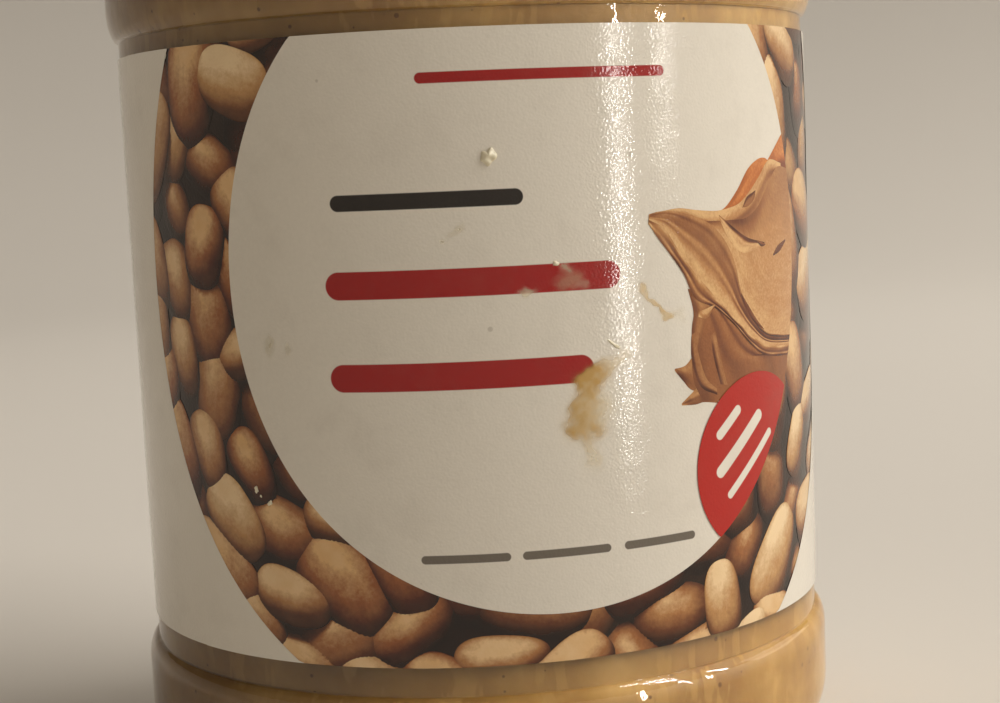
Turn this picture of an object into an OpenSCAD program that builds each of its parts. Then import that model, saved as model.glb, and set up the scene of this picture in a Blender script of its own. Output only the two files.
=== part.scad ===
// Peanut butter jar: a clear blown jar, its contents, a wrap-around label and a screw cap.
// Millimetres, +Z up, origin at the centre of the foot, front of the label towards -Y.

/* [Jar body] */
// Widest diameter, over the two rounded bumper bands
bump_d = 76; // [75:0.5:80]
// Outer diameter of the recessed band that carries the label
panel_d = 73.8; // [70:0.1:75]
// Side wall thickness
wall = 0.8; // [0.5:0.1:1.2]
// Floor thickness
floor_t = 1.2; // [0.8:0.1:2]
// Radius that rounds the heel at the foot and the shoulder under the neck
heel_r = 8.4; // [6:0.1:10]
// How far the middle of the base is pushed up inside the foot ring
push_up = 3; // [1:0.5:5]
// Width of the flat ring that the jar stands on
foot_w = 2.6; // [1:0.1:4]

/* [Heights] */
// Height where the lower bumper steps in to the label band
panel_bottom = 15.8; // [14:0.1:18]
// Length of the label band between the two bumpers
panel_h = 64; // [60:0.5:70]
// Height over which the lower bumper swells out from the label band
lower_swell_h = 2.2; // [1.5:0.1:3]
// Height over which the upper bumper swells out from the label band
upper_swell_h = 3.2; // [2:0.1:4]
// Straight height of the upper bumper above its swell
upper_band_h = 7; // [4:0.1:12]
// Height of the neck above the shoulder
neck_h = 15; // [15:0.5:18]
// How far the contents stop below the rim
headspace = 6.5; // [4:0.5:10]

/* [Neck and thread] */
// Outer diameter of the neck between the threads
neck_d = 67.2; // [64:0.1:68]
// Wall thickness of the neck
neck_wall = 1.3; // [1:0.1:1.8]
// Depth of the thread on the neck and in the cap
thread_depth = 0.9; // [0.6:0.1:1]
// Rise of the thread in one turn
thread_pitch = 4.2; // [4:0.1:4.5]
// Number of turns of thread
thread_turns = 1.25; // [1:0.05:1.3]

/* [Label] */
// Height of the label
label_h = 59.2; // [50:0.1:60]
// Height of the label's lower edge above the foot
label_bottom = 18.8; // [18.2:0.1:20]
// Thickness of the label
label_t = 0.16; // [0.1:0.01:0.3]
// Width of the strip where the label's ends overlap at the back
overlap_w = 8; // [4:1:15]

/* [Cap] */
// Outer diameter over the smooth skirt
cap_d = 72.6; // [72.2:0.1:74]
// Wall thickness of the skirt
cap_wall = 1.2; // [1:0.1:1.3]
// Thickness of the cap's top
cap_top_t = 1.6; // [1.2:0.1:2.5]
// Height of the cap's skirt below the rim
skirt_h = 11.8; // [11:0.1:12]
// Number of grip ribs round the skirt
rib_count = 90; // [60:1:120]
// How far the ribs stand out
rib_depth = 0.45; // [0.2:0.05:0.6]

/* [Hidden] */
$fn = 96;

bump_r = bump_d / 2;
panel_r = panel_d / 2;
neck_r = neck_d / 2;
cap_r = cap_d / 2;
foot_r = bump_r - heel_r - foot_w; // inner edge of the foot ring
panel_top = panel_bottom + panel_h;
shoulder_z = panel_top + upper_swell_h + upper_band_h; // where the shoulder starts to turn in
shoulder_turn = acos(1 - (bump_r - neck_r) / heel_r); // angle through which it turns
neck_z = shoulder_z + heel_r * sin(shoulder_turn); // root of the neck
rim_z = neck_z + neck_h;
fill_z = rim_z - headspace;

bead_out = 1.5; // the transfer bead below the cap stands out this far from the neck
bead_z = neck_z + 1.2; // its lower edge
bead_h = 1.3; // its height
lip_r = 0.6; // radius of the rim's rounded edges

fit_gap = 0.05; // the contents and the label keep this far off the wall
thread_w = 1.7; // width of the thread at its root
thread_crest = 0.7; // width of the thread at its crest
thread_z = rim_z - 2.6; // height of the thread's upper end
thread_sink = 0.3; // how far a thread's root is sunk in the wall it grows from
thread_rings = 60; // sections along a thread
thread_fade = 0.12; // share of a thread's length over which each end grows out of the wall
cap_round = 1.8; // radius round the cap's top edge
panel_dip = 0.5; // depth of the shallow recess in the cap's top
rib_z = 1.6; // smooth band under the ribs
rib_top_gap = 2.6; // smooth band above the ribs
arc_n = 10; // points along each rounded stretch

// Points of an arc round [cx, cz] from angle a0 to angle a1
function arc(cx, cz, r, a0, a1, n = arc_n) =
    [for (i = [0:n]) let (a = a0 + (a1 - a0) * i / n) [cx + r * cos(a), cz + r * sin(a)]];

// Quarter ellipse from a wall corner [r0, z0] out to [r1, z1], where it runs straight up or down
function swell(r0, z0, r1, z1, n = arc_n) =
    [for (i = [0:n]) let (a = 90 * i / n) [r0 + (r1 - r0) * sin(a), z0 + (z1 - z0) * (1 - cos(a))]];

function reversed(points) = [for (i = [len(points) - 1:-1:0]) points[i]];

// The pushed-up base from the axis out to the foot ring, lifted by t: a parabola
function dome(t, n = arc_n) =
    [for (i = [0:n]) let (r = foot_r * i / n) [r, t + push_up * (1 - pow(i / n, 2))]];

// The jar's side from the base's centre up to the neck's root, taken in by w and up by t
function side(w, t) = concat(
    dome(t),
    arc(bump_r - heel_r, heel_r, heel_r - max(w, t), -90, 0),
    reversed(swell(panel_r - w, panel_bottom, bump_r - w, panel_bottom - lower_swell_h)),
    swell(panel_r - w, panel_top, bump_r - w, panel_top + upper_swell_h),
    arc(bump_r - heel_r, shoulder_z, heel_r - w, 0, shoulder_turn));

// The neck's outside from its root to the rim, with the transfer bead and a rounded lip
function neck_outside() = concat(
    [[neck_r, bead_z], [neck_r + bead_out, bead_z + 0.3], [neck_r + bead_out, bead_z + bead_h - 0.3],
     [neck_r, bead_z + bead_h]],
    arc(neck_r - lip_r, rim_z - lip_r, lip_r, 0, 90));

// The inside of the neck up to the height z, taken in by a further gap g
function neck_inside(z, g) = [[neck_r - neck_wall - g, neck_z + 1], [neck_r - neck_wall - g, z]];

// Corners of the thread's section at the share t of its length: a trapezoid from the root radius
// to the crest radius, which grows out of the wall at both ends of the thread
function thread_section(root, crest, top, t) =
    let (
        a = 360 * thread_turns * t,
        z = top - thread_pitch * thread_turns * (1 - t),
        grown = min(1, t / thread_fade, (1 - t) / thread_fade),
        reach = root + (crest - root) * max(grown, 0.05))
    [for (c = [[root, -thread_w / 2], [reach, -thread_crest / 2],
               [reach, thread_crest / 2], [root, thread_w / 2]])
        [c[0] * cos(a), c[0] * sin(a), z + c[1]]];

// A right-hand ridge that climbs round the axis to the height top. The faces are wound for a
// crest outside the root, and turned about for one inside it.
module thread(root, crest, top) {
    points = [for (i = [0:thread_rings]) each thread_section(root, crest, top, i / thread_rings)];
    last = 4 * thread_rings;
    sides = [for (i = [0:thread_rings - 1], k = [0:3]) let (j = 4 * i, m = (k + 1) % 4)
        [j + k, j + m, j + 4 + m, j + 4 + k]];
    faces = concat(sides, [[3, 2, 1, 0], [last, last + 1, last + 2, last + 3]]);
    polyhedron(points, crest > root ? faces : [for (f = faces) reversed(f)], convexity = 8);
}

// Clear jar: one closed outline turned round the axis, and the thread on its neck
module jar() {
    color("#d9d2c0", 0.35) {
        rotate_extrude()
            polygon(concat(
                side(0, 0),
                neck_outside(),
                reversed(neck_inside(rim_z, 0)),
                reversed(side(wall, floor_t))));
        thread(neck_r - thread_sink, neck_r + thread_depth, thread_z);
    }
}

// Contents: fill the jar up to the level fill_z
module peanut_butter() {
    color("#b07a3c")
        rotate_extrude()
            polygon(concat(
                side(wall + fit_gap, floor_t + fit_gap),
                neck_inside(fill_z, fit_gap),
                [[0, fill_z]]));
}

// Label: a thin sleeve round the panel, doubled where its ends overlap at the back
module label() {
    inner_r = panel_r + fit_gap;
    outer_r = inner_r + label_t;
    overlap = overlap_w / outer_r * 180 / PI; // angle of the overlap, centred on the back
    sink = label_t / 2; // the overlap's outer layer is drawn from inside the inner one
    color("#efe9dc")
        translate([0, 0, label_bottom]) {
            rotate_extrude()
                translate([inner_r, 0]) square([label_t, label_h]);
            rotate([0, 0, 90 - overlap / 2])
                rotate_extrude(angle = overlap)
                    translate([outer_r - sink, 0]) square([sink + label_t, label_h]);
        }
}

// A toothed outline: each rib has a flat crest and a flat root
module ribbed_disc(root, crest) {
    pitch = 360 / rib_count;
    polygon([for (i = [0:rib_count - 1], c = [[0, crest], [0.35, crest], [0.5, root], [0.85, root]])
        let (a = (i + c[0]) * pitch) [c[1] * cos(a), c[1] * sin(a)]]);
}

// Screw cap: a skirt and a top with a shallow recess, ribbed for grip, threaded inside
module cap() {
    top_z = rim_z + cap_top_t;
    skirt_z = rim_z - skirt_h;
    inner_r = cap_r - cap_wall;
    rim_w = 5; // width of the raised ring round the cap's top
    color("#b3392c") {
        rotate_extrude()
            polygon(concat(
                [[0, rim_z], [inner_r, rim_z], [inner_r, skirt_z], [cap_r, skirt_z]],
                arc(cap_r - cap_round, top_z - cap_round, cap_round, 0, 90),
                [[cap_r - rim_w, top_z], [cap_r - rim_w - panel_dip, top_z - panel_dip],
                 [0, top_z - panel_dip]]));
        translate([0, 0, skirt_z + rib_z])
            linear_extrude(top_z - rib_top_gap - skirt_z - rib_z)
                difference() {
                    ribbed_disc(cap_r - 0.1, cap_r + rib_depth);
                    circle(r = cap_r - cap_wall / 2);
                }
        thread(inner_r + thread_sink, inner_r - thread_depth, thread_z - thread_pitch / 2);
    }
}

jar();
peanut_butter();
label();
cap();
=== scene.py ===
"""The looks of a jar of peanut butter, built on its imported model.

Lengths are in millimetres, with the origin at the centre of the jar's foot, +Z up and the middle of
the label's print towards -Y. They become metres where points go into a mesh.
"""

import logging
import math
from dataclasses import dataclass, field
from enum import Enum
from typing import Any, Sequence

import bpy
import numpy as np
from mathutils import Matrix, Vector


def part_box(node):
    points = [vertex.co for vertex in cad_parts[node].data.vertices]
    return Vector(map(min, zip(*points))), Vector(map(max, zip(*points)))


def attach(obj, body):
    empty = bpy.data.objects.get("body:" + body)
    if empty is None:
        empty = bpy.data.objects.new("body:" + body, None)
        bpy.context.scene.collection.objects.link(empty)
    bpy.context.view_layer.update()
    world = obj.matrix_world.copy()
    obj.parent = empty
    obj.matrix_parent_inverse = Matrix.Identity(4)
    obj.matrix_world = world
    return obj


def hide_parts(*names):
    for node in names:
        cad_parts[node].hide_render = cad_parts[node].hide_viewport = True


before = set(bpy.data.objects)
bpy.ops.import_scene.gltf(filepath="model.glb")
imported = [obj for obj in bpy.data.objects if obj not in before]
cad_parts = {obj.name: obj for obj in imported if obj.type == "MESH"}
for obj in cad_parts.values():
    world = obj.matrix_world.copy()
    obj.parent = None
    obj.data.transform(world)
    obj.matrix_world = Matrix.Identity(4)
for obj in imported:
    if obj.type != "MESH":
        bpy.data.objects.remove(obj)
log = logging.getLogger("jar")

Colour = tuple[float, float, float, float]
Point = tuple[float, float]

MM = 0.001  # metres in a millimetre
SAME_DECIMALS = 5  # points that agree to this many decimals of a millimetre are one
NO_AREA = 1e-7  # square millimetres under which a face is left out
TINY = 1e-9  # keeps a division by a length of zero finite


def srgb(red: float, green: float, blue: float) -> Colour:
    """Turns a screen colour into the linear one that a shader takes.

    Args:
        red: red from 0 to 255.
        green: green from 0 to 255.
        blue: blue from 0 to 255.

    Returns:
        The colour with an alpha of 1.
    """
    share = np.array([red, green, blue]) / 255
    linear = np.where(share <= 0.04045, share / 12.92, ((share + 0.055) / 1.055) ** 2.4)
    return (*map(float, linear), 1.0)


# ---------------------------------------------------------------- surfaces


@dataclass
class Grid:
    """A surface on rows and columns of points.

    Columns that run to the right and rows that run up give a face that points at the viewer.

    Attributes:
        points: the places, rows x columns x 3.
        fields: values that the finish reads, rows x columns, or rows x columns x 3 for a place.
    """

    points: np.ndarray
    fields: dict[str, np.ndarray] = field(default_factory=dict)

    def faces(self) -> tuple[np.ndarray, np.ndarray, np.ndarray]:
        """Joins points that meet, at a seam or a pole, and lists the faces between the rest.

        Returns:
            The grid point behind each joined point, the corners of all faces in a row, and the
            number of corners of each face. A face with two corners at a pole is a triangle, and one
            with no area is left out.
        """
        flat = self.points.reshape(-1, 3)
        rounded = np.round(flat, SAME_DECIMALS) + 0.0
        _, first, joined = np.unique(rounded, axis=0, return_index=True, return_inverse=True)
        ids = joined.reshape(self.points.shape[:2])
        corners = [ids[:-1, :-1], ids[:-1, 1:], ids[1:, 1:], ids[1:, :-1]]
        quads = np.stack(corners, axis=-1).reshape(-1, 4)
        places = flat[first]
        across = places[quads[:, 2]] - places[quads[:, 0]]
        along = places[quads[:, 3]] - places[quads[:, 1]]
        quads = quads[np.linalg.norm(np.cross(across, along), axis=1) > NO_AREA]
        kept = quads != np.roll(quads, 1, axis=1)
        return first, quads[kept], kept.sum(axis=1)


def mesh_of(name: str, grids: Sequence[Grid], crease: float = 35.0) -> bpy.types.Mesh:
    """Puts grids side by side into one smooth mesh, in metres.

    Args:
        name: the mesh's name.
        grids: the surfaces. They hold the same fields.
        crease: edges that turn by more than this many degrees stay sharp.

    Returns:
        The mesh, with each field as an attribute on its points.
    """
    starts, places, corners, sizes = 0, [], [], []
    values: dict[str, list[np.ndarray]] = {key: [] for key in grids[0].fields}
    for grid in grids:
        first, loops, counts = grid.faces()
        used, loops = np.unique(loops, return_inverse=True)
        flat = grid.points.reshape(-1, 3)
        places.append(flat[first[used]])
        corners.append(loops.ravel() + starts)
        sizes.append(counts)
        for key, value in grid.fields.items():
            values[key].append(value.reshape(len(flat), -1)[first[used]])
        starts += len(used)
    points = np.vstack(places) * MM
    loops, counts = np.concatenate(corners), np.concatenate(sizes)
    mesh = bpy.data.meshes.new(name)
    mesh.vertices.add(len(points))
    mesh.vertices.foreach_set("co", points.astype(np.float32).ravel())
    mesh.loops.add(len(loops))
    mesh.loops.foreach_set("vertex_index", loops.astype(np.int32))
    mesh.polygons.add(len(counts))
    mesh.polygons.foreach_set("loop_start", (np.cumsum(counts) - counts).astype(np.int32))
    mesh.update(calc_edges=True)
    for key, parts in values.items():
        value = np.vstack(parts).astype(np.float32)
        place = value.shape[1] == 3
        layer = mesh.attributes.new(key, "FLOAT_VECTOR" if place else "FLOAT", "POINT")
        layer.data.foreach_set("vector" if place else "value", value.ravel())
    mesh.validate()
    mesh.set_sharp_from_angle(angle=math.radians(crease))
    return mesh


def put(
    name: str, grids: Sequence[Grid], finish: "Finish", replaced: str = ""
) -> bpy.types.Object:
    """Makes one piece of the jar from grids.

    Args:
        name: the piece's name.
        grids: its surfaces.
        finish: its finish.
        replaced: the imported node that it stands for, if any.

    Returns:
        The piece, which rides on the jar's one body.
    """
    mesh = mesh_of(name, grids)
    mesh.materials.append(finish.material())
    piece = bpy.data.objects.new(name, mesh)
    bpy.context.scene.collection.objects.link(piece)
    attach(piece, "root")
    if replaced:
        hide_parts(replaced)
    log.info("%s: %d faces", name, len(mesh.polygons))
    return piece


def arc(centre: Point, radius: float, start: float, end: float, count: int = 14) -> np.ndarray:
    """Points on a circle: the centre plus the radius times the cosine and sine of the angle.

    Args:
        centre: the circle's centre.
        radius: its radius.
        start: the first angle in degrees.
        end: the last angle in degrees.
        count: the number of points.

    Returns:
        count x 2 points.
    """
    angles = np.radians(np.linspace(start, end, count))
    return np.array(centre) + radius * np.stack([np.cos(angles), np.sin(angles)], axis=-1)


def swell(start: Point, end: Point, count: int = 14) -> np.ndarray:
    """A quarter ellipse that leaves the start sideways and arrives at the end running straight up
    or down: the first coordinate goes by the sine of the angle, the second by one less its cosine.

    Args:
        start: the corner that it leaves.
        end: the point that it reaches.
        count: the number of points.

    Returns:
        count x 2 points.
    """
    angles = np.linspace(0, math.pi / 2, count)
    share = np.stack([np.sin(angles), 1 - np.cos(angles)], axis=-1)
    return np.array(start) + (np.array(end) - np.array(start)) * share


def softened(outline: np.ndarray, radius: float, steps: int = 5) -> np.ndarray:
    """Rounds the sharp corners of an outline with a parabola from one side to the other, which is
    the blend (1 - t)^2 a + 2 t (1 - t) corner + t^2 b of two points a and b beside the corner.

    Args:
        outline: n x 2 points. The first and the last stay.
        radius: how far from its corner each blend starts, at most.
        steps: the number of points on each rounded corner.

    Returns:
        The outline with more points.
    """
    corner = outline[1:-1, None]
    back, ahead = outline[:-2, None] - corner, outline[2:, None] - corner
    back_length = np.linalg.norm(back, axis=-1, keepdims=True)
    ahead_length = np.linalg.norm(ahead, axis=-1, keepdims=True)
    turn = np.sum(back * ahead, axis=-1, keepdims=True) / (back_length * ahead_length)
    longest = 0.45 * np.minimum(back_length, ahead_length)  # so that two blends never meet
    cut = np.minimum(radius, longest)
    a, b = corner + back / back_length * cut, corner + ahead / ahead_length * cut
    t = np.linspace(0, 1, steps)[None, :, None]
    blend = (1 - t) ** 2 * a + 2 * t * (1 - t) * corner + t**2 * b
    sharp = turn[:, :, 0] > -math.cos(math.radians(18))  # corners that turn by more than 18 degrees
    middle = np.arange(steps)[None] == steps // 2
    return np.vstack([outline[:1], blend[sharp | middle], outline[-1:]])


def turned(outline: np.ndarray, angles: np.ndarray, lift: np.ndarray | float = 0.0) -> Grid:
    """An outline of radius and height turned round Z. A point lies at its radius plus the lift in
    the direction of its angle, which is 0 at -Y and grows towards +X, and at the outline's height.

    Args:
        outline: n x 2 radii and heights, up the outside and down the inside.
        angles: the angles in radians, one for each column.
        lift: what is added to the radii, n x columns or one number.

    Returns:
        The surface.
    """
    radius = outline[:, 0, None] + lift + 0 * angles
    height = outline[:, 1, None] + 0 * radius
    return Grid(np.stack([radius * np.sin(angles), -radius * np.cos(angles), height], axis=-1))


def full_circle(columns: int) -> np.ndarray:
    """Evenly spaced angles once round, with the first repeated at the end."""
    return np.linspace(-math.pi, math.pi, columns + 1)


def smooth(value: np.ndarray, low: float, high: float) -> np.ndarray:
    """0 below low, 1 above high, and the curve t^2 (3 - 2 t) between."""
    t = np.clip((value - low) / (high - low), 0, 1)
    return t * t * (3 - 2 * t)


def through(points: Sequence[Point], count: int) -> np.ndarray:
    """A smooth curve through a few points: between each two the Catmull-Rom cubic, whose slope at a
    point is half the step from the point before it to the point after it.

    Args:
        points: the points in order.
        count: the number of points wanted, even in the curve's own parameter.

    Returns:
        count x 2 points.
    """
    known = np.array(points, dtype=float)
    known = np.vstack([2 * known[0] - known[1], known, 2 * known[-1] - known[-2]])
    place = np.linspace(0, len(points) - 1, count)
    first = np.minimum(place.astype(int), len(points) - 2)
    t = (place - first)[:, None]
    p0, p1, p2, p3 = (known[first + step] for step in range(4))
    square = 2 * p0 - 5 * p1 + 4 * p2 - p3
    cube = 3 * p1 - p0 - 3 * p2 + p3
    return 0.5 * (2 * p1 + (p2 - p0) * t + square * t**2 + cube * t**3)


# ---------------------------------------------------------------- shader maths


class Socket:
    """A number or a colour inside a material. The arithmetic signs add Math nodes."""

    def __init__(self, graph: "Graph", link: bpy.types.NodeSocket) -> None:
        """Wraps a node's output."""
        self.graph = graph
        self.link = link

    def __add__(self, other: "Value") -> "Socket":
        """The sum."""
        return self.graph.math("ADD", self, other)

    def __radd__(self, other: "Value") -> "Socket":
        """The sum, with this on the right."""
        return self.graph.math("ADD", other, self)

    def __sub__(self, other: "Value") -> "Socket":
        """The difference."""
        return self.graph.math("SUBTRACT", self, other)

    def __rsub__(self, other: "Value") -> "Socket":
        """The difference, with this on the right."""
        return self.graph.math("SUBTRACT", other, self)

    def __mul__(self, other: "Value") -> "Socket":
        """The product."""
        return self.graph.math("MULTIPLY", self, other)

    def __rmul__(self, other: "Value") -> "Socket":
        """The product, with this on the right."""
        return self.graph.math("MULTIPLY", other, self)

    def __pow__(self, other: "Value") -> "Socket":
        """The power."""
        return self.graph.math("POWER", self, other)

    def __abs__(self) -> "Socket":
        """The size without the sign."""
        return self.graph.math("ABSOLUTE", self)

    def at_most(self, other: "Value") -> "Socket":
        """The lesser of the two."""
        return self.graph.math("MINIMUM", self, other)

    def at_least(self, other: "Value") -> "Socket":
        """The greater of the two."""
        return self.graph.math("MAXIMUM", self, other)

    def between(self, low: float, high: float) -> "Socket":
        """0 where this is at low or beyond it, 1 at high, and a smooth step between."""
        settings = {"interpolation_type": "SMOOTHSTEP"}
        inputs = {"Value": self, "From Min": low, "From Max": high}
        return self.graph.out("ShaderNodeMapRange", settings, inputs, "Result")


Value = Socket | float


class Graph:
    """The nodes of one material, which starts as a Principled shader."""

    def __init__(self, name: str) -> None:
        """Makes an empty material."""
        self.material = bpy.data.materials.new(name)
        self.material.use_nodes = True
        self.tree = self.material.node_tree
        self.shader = self.tree.nodes["Principled BSDF"]
        self.output = self.tree.nodes["Material Output"]

    def feed(self, socket: bpy.types.NodeSocket, value: Any) -> None:
        """Links a socket to a value, or sets it where the value is a plain one."""
        if isinstance(value, Socket):
            self.tree.links.new(value.link, socket)
        else:
            socket.default_value = value

    def node(
        self, kind: str, settings: dict[str, Any], inputs: dict[str | int, Any]
    ) -> bpy.types.Node:
        """Adds a node.

        Args:
            kind: the node's type.
            settings: its own settings, set first. "stops" holds a ramp's places and colours.
            inputs: what its sockets take, by name or number.

        Returns:
            The node.
        """
        made = self.tree.nodes.new(kind)
        for key, value in settings.items():
            if key == "stops":
                self.stops(made.color_ramp.elements, value)
            else:
                setattr(made, key, value)
        for key, value in inputs.items():
            self.feed(made.inputs[key], value)
        return made

    def stops(self, elements: Any, stops: Sequence[tuple[float, Colour]]) -> None:
        """Fills a colour ramp with places and colours."""
        for _ in range(len(stops) - len(elements)):
            elements.new(0.5)
        for element, (place, colour) in zip(elements, stops):
            element.position = place
            element.color = colour

    def out(
        self, kind: str, settings: dict[str, Any], inputs: dict[str | int, Any], name: str | int = 0
    ) -> Socket:
        """Adds a node as node does and gives one of its outputs."""
        return Socket(self, self.node(kind, settings, inputs).outputs[name])

    def math(self, operation: str, *values: Value) -> Socket:
        """Adds a Math node on numbers."""
        return self.out("ShaderNodeMath", {"operation": operation}, dict(enumerate(values)))

    def scaled(self, place: Socket, scale: tuple[float, float, float]) -> Socket:
        """A place with each of its numbers times its own scale."""
        return self.out("ShaderNodeVectorMath", {"operation": "MULTIPLY"}, {0: place, 1: scale})

    def mix(
        self, share: Value, first: Socket | Colour, second: Socket | Colour, blend: str = "MIX"
    ) -> Socket:
        """Mixes two colours. A share of 0 gives the first."""
        settings = {"data_type": "RGBA", "blend_type": blend, "clamp_factor": True}
        return self.out("ShaderNodeMix", settings, {0: share, 6: first, 7: second}, 2)

    def ramp(self, place: Value, stops: Sequence[tuple[float, Colour]]) -> Socket:
        """The colour at a place between 0 and 1 on a ramp."""
        return self.out("ShaderNodeValToRGB", {"stops": stops}, {"Fac": place}, "Color")

    def object_mm(self, scale: tuple[float, float, float] = (1.0, 1.0, 1.0)) -> Socket:
        """Places on the piece in millimetres, each axis times its scale."""
        place = self.out("ShaderNodeTexCoord", {}, {}, "Object")
        return self.scaled(place, tuple(factor / MM for factor in scale))

    def attribute(self, name: str, output: str = "Fac") -> Socket:
        """One of the piece's own fields. output is Vector for a place."""
        return self.out("ShaderNodeAttribute", {"attribute_name": name}, {}, output)

    def parts(self, place: Socket) -> tuple[Socket, Socket, Socket]:
        """The three numbers of a place."""
        made = self.node("ShaderNodeSeparateXYZ", {}, {0: place})
        return tuple(Socket(self, output) for output in made.outputs)

    def noise(
        self, place: Socket, scale: float, detail: float = 2.0, roughness: float = 0.5
    ) -> Socket:
        """Cloudy noise about 0.5, with scale lumps to a unit of place."""
        inputs = {"Vector": place, "Scale": scale, "Detail": detail, "Roughness": roughness}
        return self.out("ShaderNodeTexNoise", {}, inputs, "Fac")

    def specks(self, place: Socket, apart: float, radius: float, share: float) -> Socket:
        """Scattered round specks: 1 within the radius of a cell's own point and 0 outside it.

        Args:
            place: places in millimetres.
            apart: size of a cell.
            radius: radius of the largest specks.
            share: share of the cells that hold one.

        Returns:
            The mask.
        """
        inputs = {"Vector": place, "Scale": 1 / apart, "Randomness": 1.0}
        cells = self.node("ShaderNodeTexVoronoi", {"feature": "F1"}, inputs)
        chance, size, _ = self.parts(Socket(self, cells.outputs["Color"]))
        distance = Socket(self, cells.outputs["Distance"]) * apart
        past_core = distance - size * (radius * 0.6)
        inside = 1 - past_core.between(radius * 0.2, radius * 0.5)
        return inside * (1 - chance.between(share - 0.02, share + 0.02))

    def bump(self, height: Socket, depth: float, below: Socket | None = None) -> Socket:
        """A normal for a surface that rises by depth millimetres as the height goes from 0 to 1."""
        inputs = {"Height": height, "Distance": depth * MM, "Strength": 1.0}
        if below is not None:
            inputs["Normal"] = below
        return self.out("ShaderNodeBump", {}, inputs, "Normal")

    def dress(self, **values: Any) -> None:
        """Sets the Principled shader's sockets. An underscore in a name stands for a space."""
        for key, value in values.items():
            self.feed(self.shader.inputs[key.replace("_", " ")], value)


# ---------------------------------------------------------------- finishes


# Fields that the pieces hand to their finishes
PRINT = "print_place"  # place on the label's print, from its middle
LOCAL = "own_place"  # place on one printed shape, from its own middle
LIGHT = "printed_light"  # how brightly the printed shape is lit
TONE = "tone"  # which of its two tones a printed shape has
THICK = "thickness"  # how well a smear covers what is under it, from 0 to 1

EDGE = 0.05  # half the softness of a printed edge, in millimetres
PAPER = srgb(232, 226, 214)  # the label's white stock


@dataclass(frozen=True)
class Finish:
    """A finish of one kind of surface."""

    name: str

    def material(self) -> bpy.types.Material:
        """Makes the finish's material."""
        graph = Graph(self.name)
        self.paint(graph)
        return graph.material

    def paint(self, graph: Graph) -> None:
        """Adds the finish's nodes. Each kind of finish does this its own way."""
        raise NotImplementedError


@dataclass(frozen=True)
class ClearPlastic(Finish):
    """Blown clear plastic, a little wavy."""

    tint: Colour = srgb(252, 248, 238)
    wave_mm: float = 5.0
    wave_depth: float = 0.06
    ripple_mm: float = 1.25
    ripple_depth: float = 0.02
    gloss: float = 0.03

    def paint(self, graph: Graph) -> None:
        """Bends and mirrors light, and lets lamps through to what is inside."""
        wave = graph.noise(graph.object_mm(), 1 / self.wave_mm, 1.5)
        ripple = graph.noise(graph.object_mm(), 1 / self.ripple_mm, 2.0)
        normal = graph.bump(ripple, self.ripple_depth, graph.bump(wave, self.wave_depth))
        graph.dress(Base_Color=self.tint, Roughness=self.gloss, IOR=1.56, Normal=normal)
        graph.dress(Transmission_Weight=1.0)
        lamp = graph.out("ShaderNodeLightPath", {}, {}, "Is Shadow Ray")
        through_it = graph.out("ShaderNodeBsdfTransparent", {}, {"Color": self.tint}, "BSDF")
        solid = Socket(graph, graph.shader.outputs["BSDF"])
        both = graph.out("ShaderNodeMixShader", {}, {0: lamp, 1: solid, 2: through_it})
        graph.feed(graph.output.inputs["Surface"], both)


@dataclass(frozen=True)
class NutButter(Finish):
    """Smooth peanut butter pressed against a clear wall."""

    deep: Colour = srgb(142, 103, 49)
    middle: Colour = srgb(165, 129, 68)
    pale: Colour = srgb(194, 160, 100)
    speck: Colour = srgb(84, 48, 22)
    speck_apart: float = 1.3
    speck_r: float = 0.26
    relief: float = 0.08
    scatter_mm: tuple[float, float, float] = (1.6, 0.8, 0.35)

    def paint(self, graph: Graph) -> None:
        """Cloudy tan with pale upright patches where the paste leaves the wall, and dark specks."""
        place = graph.object_mm()
        cloud = graph.noise(place, 0.09, 4.0, 0.6)
        base = graph.ramp(cloud, [(0.3, self.deep), (0.52, self.middle), (0.75, self.pale)])
        upright = graph.noise(graph.object_mm((1.0, 1.0, 0.25)), 0.5, 2.5, 0.55)
        patch = upright.between(0.52, 0.57) * graph.noise(place, 0.11, 1.0).between(0.38, 0.55)
        base = graph.mix(patch * 0.4, base, self.pale)
        specks = graph.specks(place, self.speck_apart, self.speck_r, 0.35)
        dust = graph.noise(place, 3.2, 3.0, 0.7).between(0.66, 0.74)
        colour = graph.mix((specks * 0.7 + dust * 0.3).at_most(1.0), base, self.speck)
        normal = graph.bump(graph.noise(place, 0.6, 3.0), self.relief)
        scatter = tuple(part * MM for part in self.scatter_mm)
        graph.dress(Base_Color=colour, Roughness=0.45 + patch * 0.25, Normal=normal)
        graph.dress(IOR=1.46, Subsurface_Weight=0.15, Subsurface_Radius=scatter)
        graph.dress(Subsurface_Scale=1.0)


@dataclass(frozen=True)
class Film(Finish):
    """Glossy film over a printed label: the gloss and fine orange peel that all print shares."""

    gloss: float = 0.085
    peel_mm: float = 0.24
    peel_depth: float = 0.0205
    wave_depth: float = 0.04
    speck_apart: float = 7.0
    speck_r: float = 0.3
    dirt: Colour = srgb(128, 112, 94)

    def laminate(self, graph: Graph, colour: Socket) -> None:
        """Lays the film over a printed colour, with faint greasy smudges and small dark specks."""
        place = graph.object_mm()
        smudge = graph.noise(place, 0.2, 3.0, 0.6).between(0.45, 0.85)
        soiled = graph.specks(place, self.speck_apart, self.speck_r, 0.3) * 0.3 + smudge * 0.1
        peel = graph.bump(graph.noise(place, 1 / self.peel_mm, 0.6, 0.4), self.peel_depth)
        wave = graph.bump(graph.noise(place, 0.22, 1.0), self.wave_depth, peel)
        graph.dress(Base_Color=graph.mix(soiled, colour, self.dirt))
        graph.dress(Roughness=self.gloss + smudge * 0.08, IOR=1.5, Normal=wave)


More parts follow.
